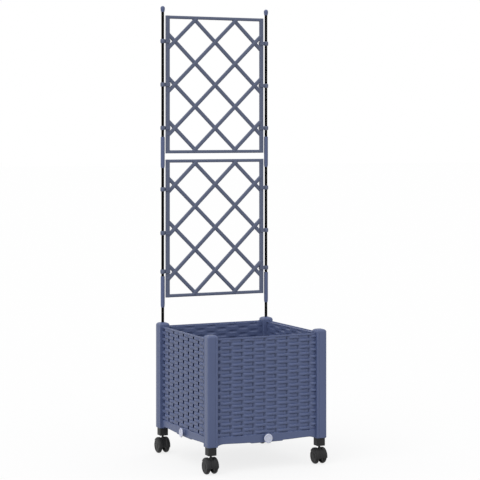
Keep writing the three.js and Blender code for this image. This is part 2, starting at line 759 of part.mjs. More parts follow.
function addTrellis() {
  const panel = trellisPanel();
  const clip = trellisClip();
  const levels = [
    ['lower', trellisBottom, lowerClipHeights()], ['upper', upperTrellisBottom, upperClipHeights()]];
  for (const [level, bottom, heights] of levels) {
    addPiece(`trellis_${level}`, panel, 'trellisPlastic', {
      at: [0, postReach, bottom + trellisHeight / 2] });
    heights.forEach((z, i) => {
      addPiece(`clip_${level}_left_${i + 1}`, clip, 'trellisPlastic', {
        at: [-postReach, postReach, z] });
      addPiece(`clip_${level}_right_${i + 1}`, clip, 'trellisPlastic', {
        turn: 180, at: [postReach, postReach, z] });
    });
  }
}

addPlanterBox();
addCastors();
addPoles();
addTrellis();

export default planter;
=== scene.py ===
"""Looks for a square planter with a basket weave, a two-panel trellis and twin-wheel castors.

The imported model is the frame. Lengths are in metres; names that end in _MM are in millimetres.
"""
import math

import bpy
import numpy as np
from mathutils import Matrix, Vector


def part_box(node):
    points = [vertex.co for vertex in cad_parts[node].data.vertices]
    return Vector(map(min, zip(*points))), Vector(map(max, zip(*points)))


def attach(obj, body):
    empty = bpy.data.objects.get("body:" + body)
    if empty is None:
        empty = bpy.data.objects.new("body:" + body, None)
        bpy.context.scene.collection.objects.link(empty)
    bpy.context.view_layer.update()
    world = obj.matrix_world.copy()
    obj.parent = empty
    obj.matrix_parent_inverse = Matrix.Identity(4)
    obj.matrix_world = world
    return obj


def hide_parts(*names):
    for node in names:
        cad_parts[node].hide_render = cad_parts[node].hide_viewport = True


MM = 0.001

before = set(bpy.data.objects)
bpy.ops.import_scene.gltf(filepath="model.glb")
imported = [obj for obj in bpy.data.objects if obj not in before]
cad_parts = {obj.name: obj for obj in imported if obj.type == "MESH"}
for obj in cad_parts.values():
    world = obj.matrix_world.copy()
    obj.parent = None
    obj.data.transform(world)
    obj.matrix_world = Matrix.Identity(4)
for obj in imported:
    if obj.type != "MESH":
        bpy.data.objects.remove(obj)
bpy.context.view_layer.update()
scene = bpy.context.scene

# ------------------------------------------------------------------ sizes from the frame
CORNERS = {"front_left": (-1, -1), "front_right": (1, -1), "back_right": (1, 1), "back_left": (-1, 1)}
SIDES = {"front": 0, "right": 90, "back": 180, "left": 270}  # turns about the planter's axis

panel_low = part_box("panel_front")[0]
post_low, post_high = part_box("post_front_left")
CENTRE = Vector((0, (panel_low.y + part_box("panel_back")[1].y) / 2, 0))
CLEARANCE = 0.3 * MM  # between parts that meet
POST_WIDTH = post_high.x - post_low.x
POST_REACH = -(post_low.x + post_high.x) / 2
POST_FOOT = post_low.z
POST_TOP = post_high.z
DOME_RISE = 10 * MM
DOME_FULLNESS = 2.6
POST_LINE = 25 * MM  # outer corner to the decorative line
POST_SHOULDER = POST_TOP - DOME_RISE
SPOUT_REACH = 7.6 * MM  # in front of the panel's face
PANEL_FACE = CENTRE.y - panel_low.y - SPOUT_REACH  # from the planter's axis
PANEL_HALF = POST_REACH - POST_WIDTH / 2 - CLEARANCE
PANEL_TOP = POST_SHOULDER - 2 * MM

# ------------------------------------------------------------------ camera
CAMERA_PLACE = CENTRE + Vector((-2.256, -4.701, 1.030))
CAMERA_YAW = math.radians(25.647)  # to the right of straight ahead
CAMERA_LENS_MM = 124.66
HORIZON_SHIFT = -0.2295  # the camera is level, and the horizon lies high in the frame

camera_data = bpy.data.cameras.new("camera")
camera_data.sensor_width = 36
camera_data.lens = CAMERA_LENS_MM
camera_data.shift_y = HORIZON_SHIFT
camera_data.clip_end = 100
camera = bpy.data.objects.new("camera", camera_data)
camera.location = CAMERA_PLACE
camera.rotation_euler = (math.radians(90), 0, -CAMERA_YAW)
scene.collection.objects.link(camera)
scene.camera = camera


# ------------------------------------------------------------------ materials
COLOUR_DRIFT = 0.06  # share of the colour, to each side
ROUGHNESS_DRIFT = 0.06
GRAIN_STRENGTH = 0.35
CLOUD_REACH = (4 * MM, 4 * MM, 5 * MM)  # how far red, green and blue go in the cloudy plastic


def linear(hex_colour):
    """A display colour, such as "5A6382", as linear red, green, blue and alpha."""
    channels = [int(hex_colour[i : i + 2], 16) / 255 for i in (0, 2, 4)]
    return [c / 12.92 if c < 0.04045 else ((c + 0.055) / 1.055) ** 2.4 for c in channels] + [1]


def material(name):
    """A new material, its node tree and its shader."""
    made = bpy.data.materials.new(name)
    made.use_nodes = True
    tree = made.node_tree
    return made, tree, tree.nodes["Principled BSDF"]


def noise(tree, scale, detail=2):
    """Noise in the piece's own coordinates. scale is in features per metre."""
    place = tree.nodes.new("ShaderNodeTexCoord")
    texture = tree.nodes.new("ShaderNodeTexNoise")
    texture.inputs["Scale"].default_value = scale
    texture.inputs["Detail"].default_value = detail
    tree.links.new(place.outputs["Object"], texture.inputs["Vector"])
    return texture.outputs["Fac"]


def ramp(tree, value, low, high):
    """value, from 0 to 1, spread over low to high, which are numbers or colours."""
    if isinstance(low, (int, float)):
        node = tree.nodes.new("ShaderNodeMapRange")
        node.inputs["To Min"].default_value = low
        node.inputs["To Max"].default_value = high
        tree.links.new(value, node.inputs["Value"])
        return node.outputs["Result"]
    node = tree.nodes.new("ShaderNodeMix")
    node.data_type = "RGBA"
    node.inputs[6].default_value = low  # the node's two colours
    node.inputs[7].default_value = high
    tree.links.new(value, node.inputs[0])
    return node.outputs[2]


def bump(tree, height, strength, distance):
    """A shading normal that follows a height from 0 to 1."""
    node = tree.nodes.new("ShaderNodeBump")
    node.inputs["Strength"].default_value = strength
    node.inputs["Distance"].default_value = distance
    tree.links.new(height, node.inputs["Height"])
    return node.outputs["Normal"]


def moulded_plastic(name, colour, gloss, roughness=0.45, grain=1800, depth=0.05 * MM):
    """Moulded plastic: slow colour drift, a satin skin with a fine spark-eroded grain."""
    made, tree, shader = material(name)
    base = linear(colour)
    darker = [c * (1 - COLOUR_DRIFT) for c in base[:3]] + [1]
    lighter = [c * (1 + COLOUR_DRIFT) for c in base[:3]] + [1]
    tree.links.new(ramp(tree, noise(tree, 9, 3), darker, lighter), shader.inputs["Base Color"])
    rough = ramp(tree, noise(tree, 60, 4), roughness - ROUGHNESS_DRIFT, roughness + ROUGHNESS_DRIFT)
    tree.links.new(rough, shader.inputs["Roughness"])
    tree.links.new(bump(tree, noise(tree, grain), GRAIN_STRENGTH, depth), shader.inputs["Normal"])
    shader.inputs["Specular IOR Level"].default_value = gloss
    return made


def brushed_steel(name):
    """Plain drawn steel, with an uneven shine."""
    made, tree, shader = material(name)
    shader.inputs["Metallic"].default_value = 1
    shader.inputs["Base Color"].default_value = linear("A5A7AA")
    tree.links.new(ramp(tree, noise(tree, 900, 3), 0.22, 0.4), shader.inputs["Roughness"])
    return made


def cloudy_plastic(name):
    """Soft cloudy plastic that lets some light through."""
    made, tree, shader = material(name)
    clouds = noise(tree, 120, 3)
    tree.links.new(ramp(tree, clouds, linear("C6CADF"), linear("DADEF0")), shader.inputs["Base Color"])
    tree.links.new(ramp(tree, clouds, 0.25, 0.4), shader.inputs["Roughness"])
    shader.inputs["Subsurface Weight"].default_value = 0.4
    shader.inputs["Subsurface Radius"].default_value = CLOUD_REACH
    shader.inputs["Subsurface Scale"].default_value = 0.5
    tree.links.new(bump(tree, noise(tree, 500), 0.2, 0.05 * MM), shader.inputs["Normal"])
    return made


BLUE = moulded_plastic("blue_plastic", "535F84", 0.5, roughness=0.42)
TRELLIS_BLUE = moulded_plastic("trellis_plastic", "626A82", 0.25)
TRAY_BLUE = moulded_plastic("tray_plastic", "4B5472", 0.25, roughness=0.55)
BLACK = moulded_plastic("black_plastic", "2B2B2C", 0.2, roughness=0.5, grain=1400)
WHEEL_BLACK = moulded_plastic("wheel_plastic", "272728", 0.2, grain=1100)
TUBE_BLACK = moulded_plastic("tube_coat", "050505", 0.04, roughness=0.5, grain=700, depth=0.004 * MM)
STEEL = brushed_steel("steel")
PLUG = cloudy_plastic("cloudy_plastic")


# ------------------------------------------------------------------ mesh helpers
def piece(name, vertices, faces, look, sharp=35):
    """A smooth-shaded mesh object, with its edges sharp where they turn more than sharp degrees."""
    mesh = bpy.data.meshes.new(name)
    mesh.from_pydata([tuple(v) for v in vertices], [], [tuple(f) for f in faces])
    mesh.materials.append(look)
    mesh.shade_smooth()
    mesh.set_sharp_from_angle(angle=math.radians(sharp))
    mesh.validate()
    made = bpy.data.objects.new(name, mesh)
    scene.collection.objects.link(made)
    return made


def copy_of(source, name, matrix):
    """The same mesh in another place."""
    made = bpy.data.objects.new(name, source.data)
    scene.collection.objects.link(made)
    made.matrix_world = matrix
    return made


def settle(made, body, *nodes):
    """Lets a piece ride on a body and take the place of CAD nodes."""
    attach(made, body)
    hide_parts(*nodes)


def scaled_rings(outline, rings):
    """An outline at several sizes and heights: rings is [(scale, height), ...]."""
    return [[(x * scale, y * scale, z) for x, y in outline] for scale, z in rings]


def loft(rings):
    """Vertices and faces of a closed, capped solid through rings of equal length."""
    count = len(rings[0])
    vertices = [p for ring in rings for p in ring]
    faces = []
    for r in range(len(rings) - 1):
        for i in range(count):
            a, b = r * count + i, r * count + (i + 1) % count
            faces.append((a, b, b + count, a + count))
    faces.append(tuple(range(count))[::-1])
    faces.append(tuple(range((len(rings) - 1) * count, len(rings) * count)))
    return vertices, faces


def arc(radius, start, end, steps):
    """Points round the origin. The angles are in radians."""
    angles = [start + (end - start) * k / steps for k in range(steps + 1)]
    return [(radius * math.cos(a), radius * math.sin(a)) for a in angles]


def lathe(profile, segments=48):
    """Vertices and faces of a [radius, height] profile turned about Z; a radius of 0 is a pole."""
    vertices, rows, faces = [], [], []
    for radius, height in profile:
        if radius < 1e-9:
            rows.append([len(vertices)] * segments)
            vertices.append((0, 0, height))
            continue
        rows.append(list(range(len(vertices), len(vertices) + segments)))
        for s in range(segments):
            angle = math.tau * s / segments
            vertices.append((radius * math.cos(angle), radius * math.sin(angle), height))
    for low, high in zip(rows, rows[1:]):
        for s in range(segments):
            t = (s + 1) % segments
            face = list(dict.fromkeys((low[s], low[t], high[t], high[s])))
            if len(face) > 2:
                faces.append(face)
    return vertices, faces


def rounded(points, radius, steps=4):
    """A profile with all corners between its ends rounded. A point is (x, y) or (x, y, own radius)."""
    result = [tuple(points[0][:2])]
    for before, corner, after in zip(points, points[1:], points[2:]):
        own = corner[2] if len(corner) > 2 else radius
        p, q, r = (Vector(k[:2]) for k in (before, corner, after))
        reach = min(own, (p - q).length / 2, (r - q).length / 2)
        start, end = q + (p - q).normalized() * reach, q + (r - q).normalized() * reach
        for k in range(steps + 1):
            t = k / steps
            point = start * (1 - t) ** 2 + q * (2 * t * (1 - t)) + end * t**2
            result.append(tuple(point))
    return result + [tuple(points[-1][:2])]


def merged(parts):
    """Several (vertices, faces) as one."""
    vertices, faces = [], []
    for part_vertices, part_faces in parts:
        base = len(vertices)
        vertices += list(part_vertices)
        faces += [tuple(i + base for i in face) for face in part_faces]
    return vertices, faces


def moved(part, matrix):
    """(vertices, faces) in another place."""
    vertices, faces = part
    return [matrix @ Vector(v) for v in vertices], faces


# ------------------------------------------------------------------ woven side panels
WEAVE_ROWS = 28
WEAVE_COLUMN = 38 * MM
WEAVE_SHIFT = -4.5 * MM  # the pattern's middle, to the left of the panel's
WEAVE_LIFT = 1.6 * MM  # how much of the top row the rim hides
RIM = 5.6 * MM
RIM_THICKNESS = 3 * MM
SHELF = 2.5 * MM
BAND = 27.5 * MM
WEAVE_LEVEL = PANEL_FACE - 3.2 * MM
PANEL_BACK = PANEL_FACE - 13 * MM
# a strand's face from where it comes out: along it and above the level
STRAND_LINE_MM = [
    (0, -1.6), (1.2, -0.4), (3, 0.8), (6, 2.4), (10, 4), (15, 5.3), (19, 5.6), (25, 5), (31, 3.5),
    (36, 1.9), (40, 1), (70, 1)]
STRAND_START = STRAND_LINE_MM[0][1] * MM
STRAND_FLAT = STRAND_LINE_MM[-1][1] * MM
STRAND_HEAD = 69.4 * MM  # where the next strand comes out from under it
SLOT_WIDTH = 2 * WEAVE_COLUMN - STRAND_HEAD
SLOT_DEPTH = 7.5 * MM
SLOT_UNDERCUT = 6 * MM
SLOT_EDGE = 1.5 * MM  # least distance from the panel's side
STRAND_SQUARENESS = 2.6  # powers that round a strand's section
STRAND_SOFTNESS = 0.6
SLOT_SLOPE = 1.3  # powers that curve the slot's face and its undercut
SLOT_CURL = 1.5
BACK_RELIEF = 0.5  # the weave's reverse, as a share of its face
WEAVE_TOP = PANEL_TOP - RIM
WEAVE_BOTTOM = POST_FOOT + BAND
ROW = (WEAVE_TOP - WEAVE_BOTTOM) / WEAVE_ROWS
BOTTOM_ROLL = 2.4 * MM
FRAME_ROLL = 1.2 * MM
TINY = 0.05 * MM

# the panel's mesh lines: from a column's start, the panel's edges or the weave's edge, and in rows
SLOT_MOUTH_MM = (STRAND_HEAD - WEAVE_COLUMN) / MM
COLUMN_LINES_MM = [
    0, 0.6, 1.6, 3, 5, 7.5, 10, 13, 16, 19, 22.5, 26, 29, SLOT_MOUTH_MM - 0.05, SLOT_MOUTH_MM + 0.05,
    32.4, 33.6, 35, 36.6, 37.7]
ROW_LINES = [0.985, 0.92, 0.8, 0.64, 0.5, 0.36, 0.2, 0.08, 0.015]
SIDE_LINES_MM = [0.6, 3, 6, 9, 12, 15, 19, 23]
BOTTOM_LINES_MM = [0, 0.25, 0.7, 1.3, 2, 2.8, 4, 7, 11]
TOP_LINES_MM = [2.2, 1.4, 0.9, 0.5, 0.25, 0.08, 0]
ROLL_LINES_MM = [1.6, 0.9, 0.4, 0.05]  # from the weave's edge, outwards
LEAST_SPACING = 0.08 * MM

# the panel's lower edge, in heights over the posts' feet
BOSS_RISE = 1.5 * MM
BOSS_STEP = 2.5 * MM
BOSS_HALF = 52.5 * MM
BOSS_SLOPE = 3 * MM
MIDDLE_RISE = 2.5 * MM
MIDDLE_SPAN = (56 * MM, 150 * MM)
SWEEP_RUN = 23 * MM
END_RISE = 0.3 * MM

# the panel's upper edge, next to the posts
FLARE_RUN = 12 * MM
FLARE_RISE = 1.6 * MM


def smoothstep(low, high, value):
    """0 below low, 1 above high, with an eased step between."""
    t = np.clip((value - low) / (high - low), 0, 1)
    return t * t * (3 - 2 * t)


def weave_shape(x, z):
    """X and height of the weave's face.

    Each strand comes out of a slot, bulges over one column and lies flat on the next.
    """
    down = (WEAVE_TOP + WEAVE_LIFT - z) / ROW
    along = (x - WEAVE_SHIFT) / WEAVE_COLUMN
    row, column = np.floor(down), np.floor(along)
    along = (along - column + (row + column) % 2) * WEAVE_COLUMN
    section = (1 - np.abs(2 * (down - row) - 1) ** STRAND_SQUARENESS) ** STRAND_SOFTNESS
    height = np.interp(along / MM, *zip(*STRAND_LINE_MM)) * MM
    height = np.minimum(height, height * section)
    out = np.clip((along - STRAND_HEAD) / SLOT_WIDTH, 0, 1)
    slot = along > STRAND_HEAD
    height = np.where(slot, -SLOT_DEPTH + (SLOT_DEPTH + STRAND_START) * out**SLOT_SLOPE, height)
    moved_x = np.where(slot, x - SLOT_UNDERCUT * (1 - out) ** SLOT_CURL, x)
    return np.maximum(moved_x, np.minimum(x, SLOT_EDGE - PANEL_HALF)), height


def column_samples():
    """X of the panel's mesh lines: close together where the strands start."""
    lines = {-PANEL_HALF, PANEL_HALF}
    most = math.ceil(PANEL_HALF / WEAVE_COLUMN)
    for column in range(-most, most):
        places = [WEAVE_SHIFT + column * WEAVE_COLUMN + line * MM for line in COLUMN_LINES_MM]
        lines |= {x for x in places if abs(x) < PANEL_HALF - 2 * TINY}
    lines |= {side * (PANEL_HALF - line * MM) for line in SIDE_LINES_MM for side in (-1, 1)}
    ordered = sorted(round(x, 7) for x in lines)
    return np.array([b for a, b in zip([-1] + ordered, ordered) if b - a > LEAST_SPACING])


def bottom_edge(x):
    """The panel's lower edge: low at the middle boss, then rising, then sweeping down to the feet."""
    across = np.abs(x)
    boss = BOSS_RISE + BOSS_STEP * smoothstep(BOSS_HALF, BOSS_HALF + BOSS_SLOPE, across)
    rise = boss + MIDDLE_RISE * smoothstep(*MIDDLE_SPAN, across)
    sweep = np.clip((across - (PANEL_HALF - SWEEP_RUN)) / SWEEP_RUN, 0, 1)
    return POST_FOOT + rise - (rise - END_RISE) * sweep**2


def top_edge(x):
    """The panel's upper edge, which flares up at the posts."""
    flare = np.clip((np.abs(x) - (PANEL_HALF - FLARE_RUN)) / FLARE_RUN, 0, 1)
    return PANEL_TOP + FLARE_RISE * flare**2


def rolled_edge(distance, radius):
    """How far a surface falls back at a distance from its rounded edge."""
    inside = np.clip(radius - distance, 0, radius)
    return radius - np.sqrt(radius**2 - inside**2)


def row_levels(xs, low, high):
    """Z of the panel's mesh lines from its lower edge to its upper edge."""
    level_rows = [WEAVE_BOTTOM - line * MM for line in ROLL_LINES_MM]
    for row in reversed(range(WEAVE_ROWS + 1)):
        levels = [WEAVE_TOP + WEAVE_LIFT - (row + line) * ROW for line in ROW_LINES]
        level_rows += [level for level in levels if WEAVE_BOTTOM < level < WEAVE_TOP - TINY]
    level_rows += [WEAVE_TOP - TINY] + [WEAVE_TOP + line * MM for line in reversed(ROLL_LINES_MM)]
    level_rows += [WEAVE_TOP + SHELF - 2 * TINY, WEAVE_TOP + SHELF]
    rows = [low + line * MM for line in BOTTOM_LINES_MM]
    rows += [low + (WEAVE_BOTTOM - low) * t for t in (0.55, 0.7, 0.85)]
    rows += [np.full_like(xs, level) for level in level_rows]
    return np.array(rows + [high - line * MM for line in TOP_LINES_MM])


def panel_grid():
    """X, the face's X, Z and the face's depth at the panel's mesh lines, bottom row first."""
    xs = column_samples()
    low, high = bottom_edge(xs), top_edge(xs)
    z = row_levels(xs, low, high)
    x = np.broadcast_to(xs, z.shape)
    woven = (z > WEAVE_BOTTOM) & (z < WEAVE_TOP)
    outside = np.maximum(WEAVE_BOTTOM - z, z - WEAVE_TOP)  # distance from the weave
    frame_depth = PANEL_FACE - rolled_edge(z - low, BOTTOM_ROLL) - rolled_edge(high - z, FRAME_ROLL)
    frame_depth -= rolled_edge(np.where(outside > 0, outside, FRAME_ROLL), FRAME_ROLL)
    moved_x, height = weave_shape(x, z)
    depth = np.where(woven, WEAVE_LEVEL + height, frame_depth)
    return x, np.where(woven, moved_x, x), z, depth, woven


def panel_parts():
    """The front panel about the planter's axis: its woven face, its inner face and the edge between them."""
    x, face_x, z, depth, woven = panel_grid()
    bulge = np.where(woven, np.maximum(depth - WEAVE_LEVEL - STRAND_FLAT, 0), 0)
    lip = PANEL_FACE - RIM_THICKNESS + rolled_edge(top_edge(x) - z, FRAME_ROLL)
    inner = np.where(z > WEAVE_TOP + SHELF - TINY, lip, PANEL_BACK + BACK_RELIEF * bulge)
    rows, columns = x.shape
    outer_points = np.stack([face_x, -depth, z], axis=-1).reshape(-1, 3)
    inner_points = np.stack([x, -inner, z], axis=-1).reshape(-1, 3)
    base = rows * columns
    index = np.arange(base).reshape(rows, columns)
    a, b = index[:-1, :-1].ravel(), index[:-1, 1:].ravel()
    c, d = index[1:, 1:].ravel(), index[1:, :-1].ravel()
    faces = np.concatenate([np.stack([a, b, c, d], 1), np.stack([d, c, b, a], 1) + base]).tolist()
    rim = np.concatenate([index[0, :-1], index[:-1, -1], index[-1, :0:-1], index[:0:-1, 0]])
    for here, there in zip(rim, np.roll(rim, -1)):
        faces.append([here, here + base, there + base, there])
    return np.concatenate([outer_points, inner_points]).tolist(), faces


DRAIN_RADIUS = 5.4 * MM
DRILL_REACH = 30 * MM


def punched(made, radius, place, length):
    """Cuts a round hole along Y."""
    parts = lathe([(0, -length), (radius, -length), (radius, length), (0, length)], 40)
    turn = Matrix.Translation(place) @ Matrix.Rotation(math.pi / 2, 4, "X")
    drill = piece("drill", *moved(parts, turn), BLUE)
    cutter = made.modifiers.new("hole", "BOOLEAN")
    cutter.operation, cutter.solver, cutter.object = "DIFFERENCE", "EXACT", drill
    graph = bpy.context.evaluated_depsgraph_get()
    cut = bpy.data.meshes.new_from_object(made.evaluated_get(graph))
    made.modifiers.clear()
    made.data = cut
    bpy.data.objects.remove(drill)


def spout_parts():
    """The short spout in front of the panel, about the drain's axis, its root at z = 0."""
    root, radius = -1 * MM, 9.5 * MM
    profile = rounded([
        (DRAIN_RADIUS, root), (radius + 1.5 * MM, root), (radius + 0.7 * MM, 0.1 * MM, 0.8 * MM),
        (radius, 1.4 * MM, 1 * MM), (radius, SPOUT_REACH), (DRAIN_RADIUS, SPOUT_REACH),
        (DRAIN_RADIUS, root)], 0.6 * MM, 3)
    return lathe(profile)


def make_panels():
    """The four woven side panels, each with its drain hole and spout."""
    first = piece("woven_panel_front", *panel_parts(), BLUE, sharp=50)
    plug_low, plug_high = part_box("drain_plug_front")
    drain = (0, -PANEL_FACE, (plug_low.z + plug_high.z) / 2)
    punched(first, DRAIN_RADIUS, drain, DRILL_REACH)
    root = Matrix.Translation(drain) @ Matrix.Rotation(math.pi / 2, 4, "X")
    for side, turn in SIDES.items():
        matrix = Matrix.Translation(CENTRE) @ Matrix.Rotation(math.radians(turn), 4, "Z")
        made = first if side == "front" else copy_of(first, f"woven_panel_{side}", matrix)
        made.matrix_world = matrix
        settle(made, "planter", f"panel_{side}")
        spout = piece(f"drain_spout_{side}", *moved(spout_parts(), matrix @ root), BLUE)
        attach(spout, "planter")


# ------------------------------------------------------------------ corner posts
POST_LINE_DEPTH = 0.9 * MM
POST_FOOT_ROLL = 2.5 * MM
# half of the decorative line's section, from its edge to its middle: across and inwards, in line depths
LINE_SECTION = [(-1.5, 0), (-0.9, 0.15), (-0.4, 0.75), (0, 1)]


def post_outline():
    """The front left post seen from above, about its own axis, counter-clockwise."""
    half = POST_WIDTH / 2

    def corner(sx, sy, radius, start, steps=6):
        x, y = sx * (half - radius), sy * (half - radius)
        turn = math.radians(start)
        return [(x + u, y + v) for u, v in arc(radius, turn, turn + math.pi / 2, steps)]

    section = LINE_SECTION + [(-u, v) for u, v in LINE_SECTION[-2::-1]]
    groove = [(POST_LINE - half + POST_LINE_DEPTH * u, -half + POST_LINE_DEPTH * v) for u, v in section]
    other = [(y, x) for x, y in reversed(groove)]
    return (corner(-1, -1, 3.5 * MM, 180, 8) + groove + corner(1, -1, 2.5 * MM, 270)
            + corner(1, 1, 2 * MM, 0) + corner(-1, 1, 2.5 * MM, 90) + other)


def post_rings():
    """Scale and height of the post's rings: its rolled foot, its shaft and its dome."""
    foot_steps, dome_steps = 5, 17
    foot = []
    for k in range(foot_steps + 1):
        angle = math.radians(90 * k / foot_steps)
        inset = POST_FOOT_ROLL * (1 - math.sin(angle))
        foot.append((1 - 2 * inset / POST_WIDTH, POST_FOOT + POST_FOOT_ROLL * (1 - math.cos(angle))))
    shaft = [(1, POST_FOOT + (POST_SHOULDER - POST_FOOT) * t) for t in (0.25, 0.5, 0.75)]
    dome = []
    for k in range(dome_steps):
        t = k / dome_steps
        t = t * (2 - t)
        dome.append(((1 - t**DOME_FULLNESS) ** (1 / DOME_FULLNESS), POST_SHOULDER + DOME_RISE * t))
    crown = [(0.12, POST_SHOULDER + DOME_RISE * 0.9995), (0.02, POST_TOP)]
    return foot + shaft + dome + crown


def make_posts():
    """The four corner posts: one mesh, turned about the planter."""
    parts = loft(scaled_rings(post_outline(), post_rings()))
    first = piece("corner_post_front_left", *parts, BLUE, sharp=50)
    for index, (corner, (sx, sy)) in enumerate(CORNERS.items()):
        place = CENTRE + Vector((sx * POST_REACH, sy * POST_REACH, 0))
        matrix = Matrix.Translation(place) @ Matrix.Rotation(math.radians(90 * index), 4, "Z")
        made = first if index == 0 else copy_of(first, f"corner_post_{corner}", matrix)
        made.matrix_world = matrix
        settle(made, "planter", f"post_{corner}")


# ------------------------------------------------------------------ drain plugs
def make_plugs():
    """The four drain plugs: a thin round cap on a stem."""
    low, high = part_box("drain_plug_front")
    radius = (high.x - low.x) / 2
    seat = PANEL_FACE + SPOUT_REACH + CLEARANCE
    face = CENTRE.y - low.y - seat
    stem = high.y - (CENTRE.y - seat)
    profile = rounded([
        (0, -stem), (4.2 * MM, -stem), (5 * MM, -stem + 1.5 * MM), (5 * MM, 0), (radius - 0.4 * MM, 0),
        (radius, 0.5 * MM), (radius, face - 1 * MM, 1.2 * MM), (radius - 2.4 * MM, face, 1.2 * MM),
        (radius - 3.6 * MM, face - 0.7 * MM), (0, face - 0.5 * MM)], 0.6 * MM)
    for side, turn in SIDES.items():
        matrix = (Matrix.Translation(CENTRE) @ Matrix.Rotation(math.radians(turn), 4, "Z")
                  @ Matrix.Translation((0, -seat, (low.z + high.z) / 2))
                  @ Matrix.Rotation(math.pi / 2, 4, "X"))
        made = piece(f"drain_cap_{side}", *moved(lathe(profile, 64), matrix), PLUG)
        settle(made, f"plug_{side}", f"drain_plug_{side}")


# ------------------------------------------------------------------ castors
AXLE_LOW, AXLE_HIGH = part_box("castor_axle_front_left")
AXLE_HEIGHT = (AXLE_LOW.z + AXLE_HIGH.z) / 2
TRAIL = (AXLE_LOW.y + AXLE_HIGH.y) / 2 - (CENTRE.y - POST_REACH)
WHEEL_RADIUS = AXLE_HEIGHT
WHEEL_WIDTH = 12 * MM
WHEEL_REACH = 13 * MM
HOOD_HALF_WIDTH = 19 * MM
HOOD_RADIUS = 26.9 * MM
HOOD_ROLL = 4.6 * MM
HOOD_TAPER = 0.95  # share of the roll that the hood falls back by at its sides
HOOD_SADDLE = 2.7 * MM  # how far the saddle lies under the two fenders
HOOD_REAR_DROP = 1.5 * MM
HOOD_SPAN = (-8, 140)  # degrees, from the front edge, over the top, to the rear
HOOD_STEPS = 40
# half of the hood's mesh lines, from its side to its middle
HOOD_LINES_MM = [19, 18.9, 18.5, 17.8, 16.8, 15.6, 14.4, 13, 11, 9, 8, 7.4, 6.8, 6.2, 5.6, 5, 4, 2.5]
WELL_RADIUS = WHEEL_RADIUS + 1 * MM
WEB_HALF = 6.4 * MM
WEB_RADIUS = 23.4 * MM
WEB_TOP = 21.6 * MM  # the hood's inner radius over the web
HUB_RADIUS = 6.8 * MM
STEM_FOOT = 17 * MM  # above the axle


def make_socket(corner, place):
    """The square socket under a post, which holds the castor's stem."""
    low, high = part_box(f"castor_socket_{corner}")
    half = (high.x - low.x) / 2
    square = [(0, -half), (half, -half), (half, half), (-half, half), (-half, -half), (0, -half)]
    outline = rounded(square, 2.5 * MM, 5)[:-1]
    rings = [(0.93, low.z), (0.975, low.z + 0.4 * MM), (1, low.z + 1.3 * MM), (1, POST_FOOT - CLEARANCE)]
    parts = moved(loft(scaled_rings(outline, rings)), Matrix.Translation(place))
    made = piece(f"socket_{corner}", *parts, BLACK, sharp=50)
    settle(made, "planter", f"castor_socket_{corner}")


def hood_fall(across):
    """How far the hood falls back at a distance from its middle, towards its rounded sides."""
    return HOOD_TAPER * float(rolled_edge(HOOD_HALF_WIDTH - across, HOOD_ROLL))


def hood_radii(across, angle):
    """The hood's outer and inner radius. The angle is in degrees.

    Two fenders have a saddle between them, and get thinner towards the rear.
    """
    saddle = HOOD_SADDLE * float(1 - smoothstep(5 * MM, 7.6 * MM, across))
    rear = HOOD_REAR_DROP * float(smoothstep(80, HOOD_SPAN[1], angle))
    outer = HOOD_RADIUS - max(saddle, hood_fall(across)) - rear
    well = WELL_RADIUS - hood_fall(across) if across > WEB_HALF + 0.1 * MM else WEB_TOP
    return outer, min(well, outer - 0.5 * MM)


def hood_parts():
    """The hood over the two wheels, about the middle of the axle: X along the axle, Z up."""
    across = [x * MM for x in [-line for line in HOOD_LINES_MM] + [0] + HOOD_LINES_MM[::-1]]
    front, rear = HOOD_SPAN
    outer, inner = [], []
    for k in range(HOOD_STEPS + 1):
        degrees = front + (rear - front) * k / HOOD_STEPS
        back, up = -math.cos(math.radians(degrees)), math.sin(math.radians(degrees))
        for x in across:
            radius, well = hood_radii(abs(x), degrees)
            outer.append((x, radius * back, radius * up))
            inner.append((x, well * back, well * up))
    count, rows = len(across), HOOD_STEPS + 1
    vertices = outer + inner
    base = len(outer)
    faces = []
    for r in range(rows - 1):
        for i in range(count - 1):
            a = r * count + i
            faces.append((a, a + 1, a + 1 + count, a + count))
            faces.append((base + a, base + a + count, base + a + 1 + count, base + a + 1))
        for a, b in ((r * count, (r + 1) * count), ((r + 2) * count - 1, (r + 1) * count - 1)):
            faces.append((a, b, b + base, a + base))
    for i in range(count - 1):
        last = (rows - 1) * count
        faces.append((i + 1, i, i + base, i + 1 + base))
        faces.append((last + i, last + i + 1, last + i + 1 + base, last + i + base))
    return vertices, faces


def web_parts():
    """The flat web between the wheels, with its hub."""
    start, end = math.radians(184), math.radians(44)
    outline = arc(WEB_RADIUS, start, end, 24) + arc(HUB_RADIUS, end, start - math.tau, 10)
    return loft([[(x, y, z) for y, z in outline] for x in (-WEB_HALF, WEB_HALF)])


def wheel_parts():
    """A wheel about its axle, its outer face towards +X: dished inside, with a shallow cap outside."""
    half = WHEEL_WIDTH / 2
    r = WHEEL_RADIUS
    dish = [(3.1 * MM, -half), (7.4 * MM, -half), (8.2 * MM, -half + 5 * MM), (19 * MM, -half + 5 * MM),
            (19.8 * MM, -half)]
    tread = [(r - 2.6 * MM, -half, 1 * MM), (r, -half + 2.8 * MM, 3.4 * MM), (r, half - 5.4 * MM, 3.4 * MM),
             (r - 1.4 * MM, half - 1.8 * MM, 3 * MM), (r - 5 * MM, half, 2 * MM),
             (r - 6.4 * MM, half, 0.4 * MM)]
    cap = [(r - 7.2 * MM, half - 0.9 * MM, 0.5 * MM), (8.4 * MM, half - 0.9 * MM, 0.5 * MM),
           (7.6 * MM, half - 0.1 * MM, 0.5 * MM), (2.5 * MM, half), (0, half)]
    return moved(lathe(rounded(dish + tread + cap, 0.7 * MM), 64), Matrix.Rotation(math.pi / 2, 4, "Y"))


